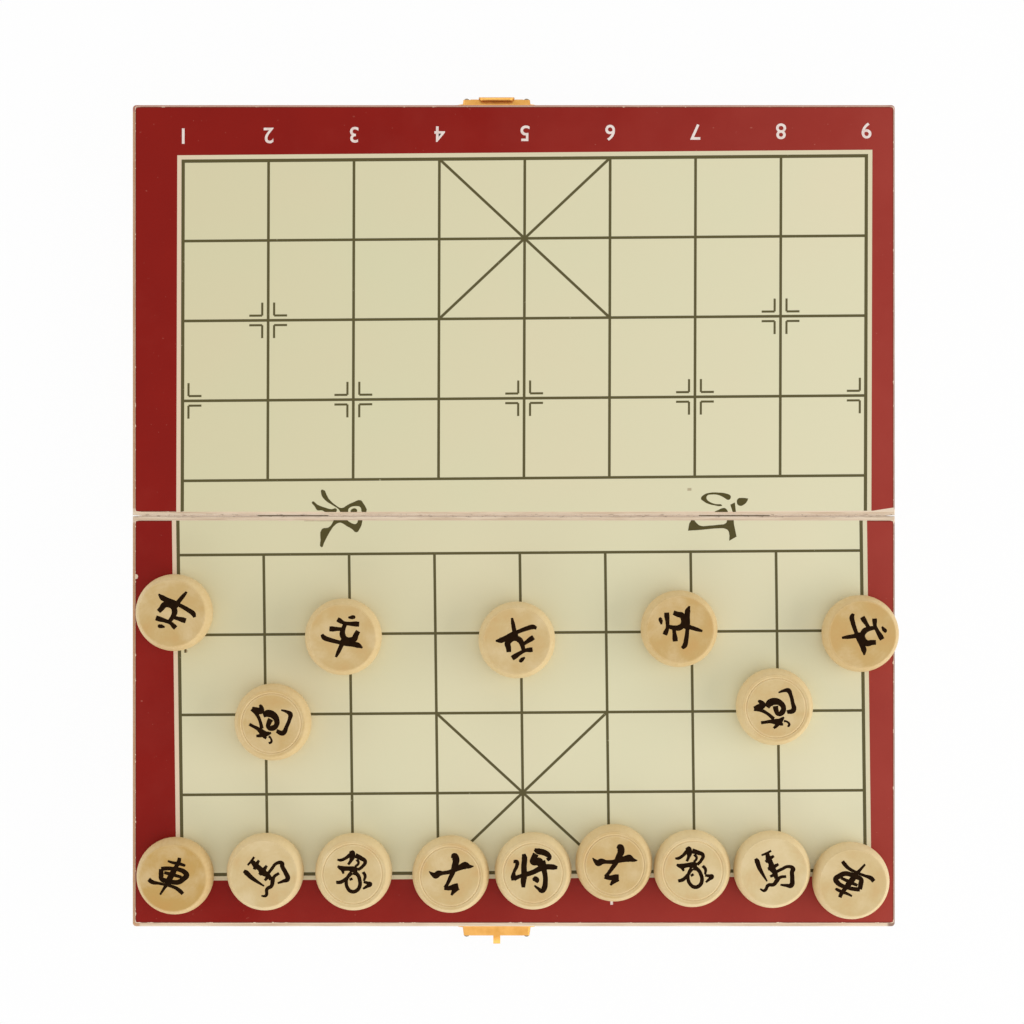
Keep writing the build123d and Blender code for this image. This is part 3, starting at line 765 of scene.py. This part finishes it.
# Size of each character's drawing, and how much broader the brush went than the drawing's strokes
BRUSHES = {
    "soldier": (1.01, 1.18), "cannon": (1.0, 1.12), "chariot": (0.97, 1.05), "horse": (1.0, 1.13),
    "elephant": (0.98, 1.14), "advisor": (0.95, 1.24), "general": (0.96, 1.1),
}
lacquer = black_lacquer()
for name, (turn, right, up) in SETTINGS.items():
    kind = name.split("_")[0]
    mesh = brush_mesh(f"{name}_character", STROKES[kind], *BRUSHES[kind])
    spot = discs[name]
    flat = Matrix.Diagonal((1, 1, LACQUER_RISE, 1))
    on_face = Matrix.Translation((spot["centre"].x + right * MM, spot["centre"].y + up * MM, spot["top"]))
    mesh.transform(on_face @ Matrix.Rotation(radians(turn), 4, "Z") @ flat)
    mesh.polygons.foreach_set("use_smooth", [True] * len(mesh.polygons))
    added(f"{name}_character", mesh, lacquer, name)
print("characters brushed:", len(SETTINGS))

# %% [markdown]
# ## The river marks
# Two large characters lie across the river, and the seam cuts through them. They are printed, so
# they are flat shapes with wedge-like ends: a closed outline, filled. Each shape is drawn once
# about its own middle on the seam. A copy goes to each half, where a plane cuts away what
# would hang over the edge of the sheet.

# %% Outlines of the river marks
SHARP = "sharp corner"
RIVER_MARKS = {
    -61.5: [
        [(-6.4, 9.3), (-4.1, 6.1), (-1.5, 3.7), (0.6, 2.7), (2.6, 3.8), (4.8, 4.8), (7.2, 5.5), (8.1, 4.6),
         (9.2, 1.0), (7.9, 1.0), (7.2, 3.0), (5.7, 3.4), (3.1, 2.6), (2.6, 1.0), (0.4, 1.0), (-0.5, 2.3),
         (-2.6, 3.7), (-5.5, 5.7), (-6.7, 7.9)],
        [(-9.9, 5.0), (-8.0, 3.9), (-5.1, 2.8), (-3.0, 2.3), (-1.3, 2.5), (-1.7, 1.0), (-4.8, 1.0),
         (-6.4, 1.9), (-8.0, 1.9), (-8.9, 3.2)],
        [(4.0, 2.2), (5.9, 2.3), (5.7, 1.0), (3.9, 1.0)],
        [(-1.7, -1.0), (-3.0, -3.1), (-4.2, -4.2), (-6.4, -4.7), (-6.9, -8.6), (-6.6, -11.2), (-5.7, -9.6),
         (-4.4, -7.1), (-3.1, -4.9), (-2.2, -3.7), (-0.4, -2.5), (0.6, -2.6), (2.4, -3.7), (4.2, -4.7),
         (5.8, -5.9), (6.8, -4.9), (7.7, -2.8), (7.6, -1.0), (6.8, -1.0), (5.7, -2.9), (4.0, -2.6),
         (1.5, -1.0)],
    ],
    72.0: [
        [(-5.7, 6.0), (-4.7, 7.4), (-2.7, 8.1), (0.5, 8.2), (3.4, 7.8), (4.8, 7.0), (4.6, 5.9), (3.8, 5.6),
         (2.8, 6.2), (0.5, 7.3), (-1.9, 7.5), (-3.5, 7.1), (-3.7, 6.0), (-2.6, 4.9), (-0.5, 4.1), (1.8, 3.6),
         (1.3, 3.4), (-1.1, 3.7), (-3.4, 4.3), (-4.9, 5.2)],
        [(-0.9, 1.0), (0.6, 2.1), (2.1, 2.7), (3.0, 2.6), (3.7, 1.0)],
        [(4.7, 3.9, SHARP), (6.3, 4.7, SHARP), (6.7, 1.0, SHARP), (5.6, 1.0, SHARP)],
        [(7.4, 6.0), (9.0, 6.3), (11.0, 6.1, SHARP), (10.7, 5.2), (9.5, 3.9), (8.0, 3.5), (7.1, 4.3)],
        [(-10.3, -5.3, SHARP), (-9.2, -1.7), (-8.4, -1.4), (-7.6, -2.2), (-6.1, -3.5), (-2.7, -3.5),
         (0.5, -3.2), (3.2, -2.6), (3.8, -1.0), (5.5, -1.0), (6.0, -3.1), (6.9, -7.4, SHARP),
         (4.3, -8.9, SHARP), (4.2, -5.9), (3.4, -4.8), (0.1, -4.5), (-3.5, -4.8), (-6.8, -5.1)],
    ],
}
INK_THICKNESS = 0.03

# %% Cut the river marks at the seam


def print_ink(name, colour, dark):
    finish = Finish(name)
    speck = finish.noise(1.4, detail=3.0, seed=5.0)
    return finish.surface(
        Base_Color=finish.mixed(speck.above(0.6, 0.2) * 0.5, colour, dark),
        Roughness=0.36 + speck * 0.12,
        Normal=finish.bump(speck, 0.02),
        Specular_IOR_Level=0.12,
    )


def outline_mesh(name, outlines):
    """Closed outlines filled as flat faces with a thin edge."""
    curve = bpy.data.curves.new(name, "CURVE")
    curve.dimensions = "2D"
    curve.fill_mode = "BOTH"
    curve.extrude = INK_THICKNESS / 2 * MM
    curve.resolution_u = 3
    for outline in outlines:
        spline = curve.splines.new("BEZIER")
        spline.bezier_points.add(len(outline) - 1)
        spline.use_cyclic_u = True
        for point, (x, y, *corner) in zip(spline.bezier_points, outline):
            point.co = (x * MM, y * MM, 0)
            point.handle_left_type = point.handle_right_type = "VECTOR" if corner else "AUTO"
    return mesh_of(name, curve)


def joined(work, mesh, vec, turn=0.0):
    """Adds a mesh to the work, turned about Z and moved, and throws the mesh away."""
    before = set(work.verts)
    work.from_mesh(mesh)
    bpy.data.meshes.remove(mesh)
    fresh = [vert for vert in work.verts if vert not in before]
    bmesh.ops.rotate(work, verts=fresh, matrix=Matrix.Rotation(turn, 3, "Z"))
    bmesh.ops.translate(work, verts=fresh, vec=vec)


def finished(work, name):
    mesh = bpy.data.meshes.new(name)
    work.to_mesh(mesh)
    work.free()
    return mesh


def river_half(name, layout, edge_y, top):
    """Both marks on one half, kept only beyond the sheet's seam edge."""
    work = bmesh.new()
    for index, (x, outlines) in enumerate(RIVER_MARKS.items()):
        joined(work, outline_mesh(f"{name}_{index}", outlines), (x * MM, 0, top + INK_THICKNESS / 2 * MM))
    bmesh.ops.remove_doubles(work, verts=work.verts, dist=0.001 * MM)
    plane = {"plane_co": (0, edge_y, 0), "plane_no": (0, layout["side"], 0)}
    everything = [*work.verts, *work.edges, *work.faces]
    bmesh.ops.bisect_plane(work, geom=everything, clear_inner=True, **plane)
    bmesh.ops.holes_fill(work, edges=[edge for edge in work.edges if edge.is_boundary], sides=0)
    bmesh.ops.recalc_face_normals(work, faces=work.faces)
    return finished(work, name)


river_ink = print_ink("river_ink", INK, tone(88, 80, 48))
for half, layout in PRINTS.items():
    low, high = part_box(f"{half}_printed_sheet")
    edge_y = low.y if layout["side"] > 0 else high.y
    mesh = river_half(f"{half}_river_marks", layout, edge_y, high.z)
    added(f"{half}_river_marks", mesh, river_ink, f"{half}_tray")
    print(half, "river marks:", len(mesh.polygons), "faces")

# %% [markdown]
# ## File numbers
# The red borders carry white print. Plain numbers for the nine files fill that place, each side's
# turned to its own player. A text object gives their shapes. It is made a mesh before it is
# moved, because a text object's own place would otherwise be lost.

# %% Numbers in the borders
NUMBER_HEIGHT = 5.6
NUMBER_OUT = 9.2
FONT_SIZE_OF_HEIGHT = 1.38
FILES = 9


def number_mesh(text):
    font = bpy.data.curves.new(f"number_{text}", "FONT")
    font.body = text
    font.size = NUMBER_HEIGHT * FONT_SIZE_OF_HEIGHT * MM
    font.align_x = "CENTER"
    font.align_y = "CENTER"
    font.extrude = INK_THICKNESS / 2 * MM
    font.offset = 0.09 * MM
    return mesh_of(f"number_{text}", font)


def border_numbers(name, layout, top):
    """The numbers 1 to 9 outside the files, counted from each player's right."""
    side = layout["side"]
    turn = pi if side > 0 else 0.0
    work = bmesh.new()
    for number in range(1, FILES + 1):
        across = ((FILES + 1) / 2 - number) * FILE_PITCH * -side
        y = layout["bank"] + side * (DEPTH + NUMBER_OUT) + across * layout["slope"]
        x = layout["middle"] + across + (y - layout["bank"]) * layout["lean"]
        joined(work, number_mesh(str(number)), (x * MM, y * MM, top + INK_THICKNESS / 2 * MM), turn)
    bmesh.ops.remove_doubles(work, verts=work.verts, dist=0.001 * MM)
    return finished(work, name)


white_ink = print_ink("white_ink", tone(236, 222, 214), tone(214, 176, 166))
for half, layout in PRINTS.items():
    mesh = border_numbers(f"{half}_numbers", layout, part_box(f"{half}_printed_sheet")[1].z)
    added(f"{half}_numbers", mesh, white_ink, f"{half}_tray")
print("border numbers:", len(PRINTS), "rows of", FILES)

# %% [markdown]
# ## Metal
# The clasp is thin steel sheet under a golden lacquer, which pools a little deeper in the
# hollows and rubs off on the edges. The hinges are plain brass, dulled by handling, and the
# screws and nails are plain steel. All three are one kind of metal with other tones.

# %% Metals


def sheet_metal(name, bright, dull, roughness, wear_mm):
    finish = Finish(name)
    film = finish.noise(4.0, detail=4.0, roughness=0.6, seed=1.0)
    scratch = finish.noise(1.2, detail=3.0, stretch=(1, 9, 9), seed=3.0).above(0.7, 0.05)
    tint = finish.mixed(film.above(0.5, 0.4), bright, dull)
    tint = finish.mixed(scratch * 0.3, tint, tone(250, 230, 186))
    return finish.surface(
        Base_Color=tint,
        Metallic=0.9 + film * 0.1,
        Roughness=roughness + film * 0.16 + scratch * 0.1,
        Normal=finish.bump(film, wear_mm),
    )


golden = sheet_metal("golden_lacquer", tone(232, 176, 98), tone(212, 154, 76), 0.32, 0.03)
brass = sheet_metal("dull_brass", tone(226, 192, 116), tone(192, 156, 88), 0.34, 0.02)
steel = sheet_metal("plain_steel", tone(160, 150, 134), tone(108, 98, 84), 0.36, 0.02)
METALS = {
    "hasp_plate": golden, "hasp_tongue": golden, "strike_plate": golden, "hasp_pin": steel,
    "hasp_nails": steel, "strike_nails": steel, "near_hinge_screws": steel, "far_hinge_screws": steel,
}
for hinge in ("left_hinge", "right_hinge"):
    METALS |= {f"{hinge}_near_leaf": brass, f"{hinge}_far_leaf": brass, f"{hinge}_pin": steel}
for node, metal in METALS.items():
    dress(node, metal)
print("metal pieces dressed:", len(METALS))

# %% [markdown]
# ## Floor, light and camera
# The set lies on a white table in a bright white room, with large soft lamps low on every side
# and a weak one overhead. The right one is the strongest, so the faint shadows fall to the far
# left, and light from the sides keeps the walls of the discs bright. The camera hangs over the
# board.
# The world is white to the camera through Light Path, and less bright to the object. To the
# camera the floor is mostly clear, so this white shows, and some of its soft shadow stays.
# From below the floor is fully clear: the far tray folds down through it and stays in sight.
# Under the set it also lets light up into the hollow trays, so that their insides can be seen.
# Through the gap at the seam the camera sees a strip of it that lets the white room through, tinted tan with
# darker streaks: painted light and painted shade in place of the gap's own shade.

# %% The floor and the world
FLOOR_CLEAR = 0.95
# Half lengths and half widths, in mm, of the strip under the seam and the opening for light
SEAM_STRIP = (136.2, 0.28)
SEAM_STRIP_END = 2.4
OPENING = (132.0, 142.0)
GAP_GLOW_TONES = tone(210, 188, 166), tone(150, 126, 106)
FLOOR_DROP = 0.05
WORLD_LIGHT = 0.56


def white_floor():
    finish = Finish("white_floor")
    x, y, z = finish.millimetres()
    back = Value(finish, finish.add("ShaderNodeNewGeometry").outputs["Backfacing"])
    seen = finish.seen()
    table = finish.add("ShaderNodeBsdfDiffuse", {}, {"Color": tone(246, 245, 243)})
    open_air = finish.add("ShaderNodeBsdfTransparent")
    opening = abs(x).below(OPENING[0], 1.0) * abs(y).below(OPENING[1], 1.0)
    clear = (seen * FLOOR_CLEAR).most((1 - seen) * opening).most(back)
    all_round = finish.between(clear, table, open_air)
    # Painted light in the seam gap: the strip lets the white room through, tinted tan, with darker streaks
    # of painted shade.
    gap_streaks = finish.noise(4.0, detail=4.0, roughness=0.7, seed=3.0).below(0.62, 0.25)
    pale, dark = [finish.add("ShaderNodeBsdfTransparent", {}, {"Color": colour}) for colour in GAP_GLOW_TONES]
    gap_glow = finish.between(gap_streaks, dark, pale)
    under_seam = abs(x).below(SEAM_STRIP[0], SEAM_STRIP_END) * abs(y).below(SEAM_STRIP[1], SOFT)
    return finish.ending(finish.between(under_seam * seen * (1 - back), all_round, gap_glow))


ground = bmesh.new()
bmesh.ops.create_grid(ground, x_segments=1, y_segments=1, size=6.0)
bmesh.ops.translate(ground, verts=ground.verts, vec=(0, 0, cad_low.z - FLOOR_DROP * MM))
floor = bpy.data.objects.new("floor", finished(ground, "floor"))
floor.data.materials.append(white_floor())
bpy.context.scene.collection.objects.link(floor)
floor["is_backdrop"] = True

world = Finish("white_room", bpy.data.worlds.new("white_room"))
light, backdrop = [world.add("ShaderNodeBackground", {}, {"Strength": s}) for s in (WORLD_LIGHT, 1.0)]
for part in (light, backdrop):
    part.inputs["Color"].default_value = (1, 1, 1, 1)
room = world.between(world.seen(), light, backdrop)
bpy.context.scene.world = world.ending(room, "ShaderNodeOutputWorld")

# %% Lamps
LAMPS = {
    "top_lamp": {"place": (0.3, -0.3, 1.8), "size": (1.2, 1.2), "power": 3.0},
    "right_lamp": {"place": (1.35, -0.35, 0.6), "size": (1.5, 0.8), "power": 11.5},
    "front_lamp": {"place": (-0.3, -1.4, 0.5), "size": (1.5, 0.8), "power": 6.0},
    "left_lamp": {"place": (-1.45, 0.1, 0.45), "size": (1.5, 0.7), "power": 5.0},
    "back_lamp": {"place": (0.2, 1.45, 0.45), "size": (1.5, 0.7), "power": 4.5},
}
for name, lamp in LAMPS.items():
    data = bpy.data.lights.new(name, "AREA")
    data.shape = "RECTANGLE"
    data.size, data.size_y = lamp["size"]
    data.energy = lamp["power"]
    holder = bpy.data.objects.new(name, data)
    holder.location = lamp["place"]
    holder.rotation_euler = (-Vector(lamp["place"])).to_track_quat("-Z", "Y").to_euler()
    bpy.context.scene.collection.objects.link(holder)
print("lamps:", len(LAMPS))

# %% Camera
lens = bpy.data.cameras.new("camera")
lens.sensor_width = 36.0
lens.lens = 74.46
camera = bpy.data.objects.new("camera", lens)
camera.location = (-0.62 * MM, 1.31 * MM, 769.5 * MM)
bpy.context.scene.collection.objects.link(camera)
bpy.context.scene.camera = camera
bpy.context.scene.view_settings.view_transform = "Standard"

# %% [markdown]
# ## Finish
# How far the dressed set grows past the solids' box is printed, in millimetres.
# The dressed set has to stay inside the solids' box.

# %% Print the sizes
low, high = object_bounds()
print("grown by, in mm:", [round(v / MM, 3) for v in (*(cad_low - low), *(high - cad_high))])
